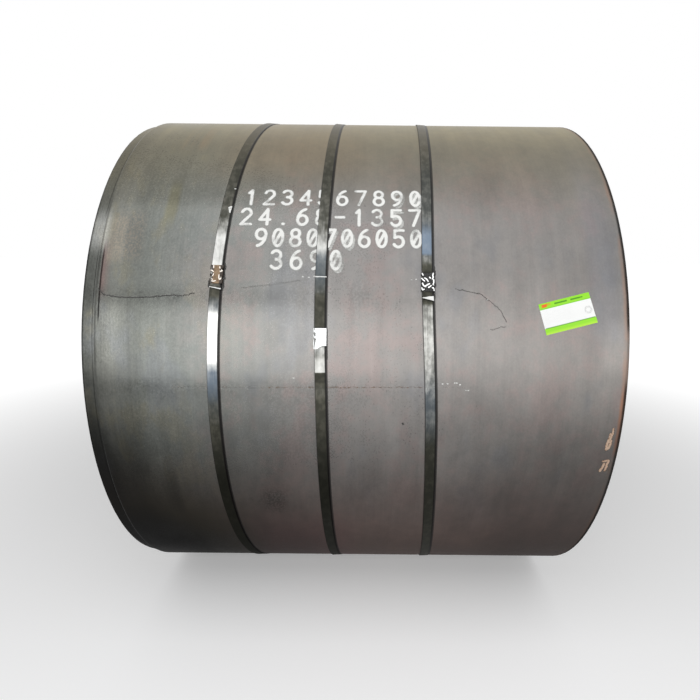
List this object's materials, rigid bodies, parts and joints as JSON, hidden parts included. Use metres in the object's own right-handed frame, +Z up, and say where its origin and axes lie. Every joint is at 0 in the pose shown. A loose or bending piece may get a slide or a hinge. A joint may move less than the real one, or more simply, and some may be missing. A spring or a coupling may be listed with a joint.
{
  "type": "steel coil",
  "caption": "Coil of hot rolled steel strip lying on its side, open through its bore and bound round the outside by steel straps with crimped seals.",
  "frame": {"origin": "on the floor, under the middle of the coil", "axes": "+X along the coil's axis towards the end where the outermost wrap stands proud, -Y to the front where the seals and the label are, +Z up"},
  "size_m": [1.542, 1.8008, 1.8009],
  "materials": {
    "mill_scale_steel": "rolled mill scale, blue-grey to brown, half gloss, with fine streaks round the coil",
    "strap_steel": "blued and waxed, glossy near black",
    "bronzed_seal": "copper-brown, worn bright on its crimps",
    "zinc_seal": "galvanised, dulled, with dark crimp marks",
    "label_paper": "printed paper sticker with green bands"
  },
  "bodies": {
    "root": {"steel_coil": "mill_scale_steel", "strap_left": "strap_steel", "strap_middle": "strap_steel", "strap_right": "strap_steel", "seal_left": "bronzed_seal", "seal_middle": "zinc_seal", "seal_right": "zinc_seal", "label": "label_paper"}
  },
  "joints": []
}
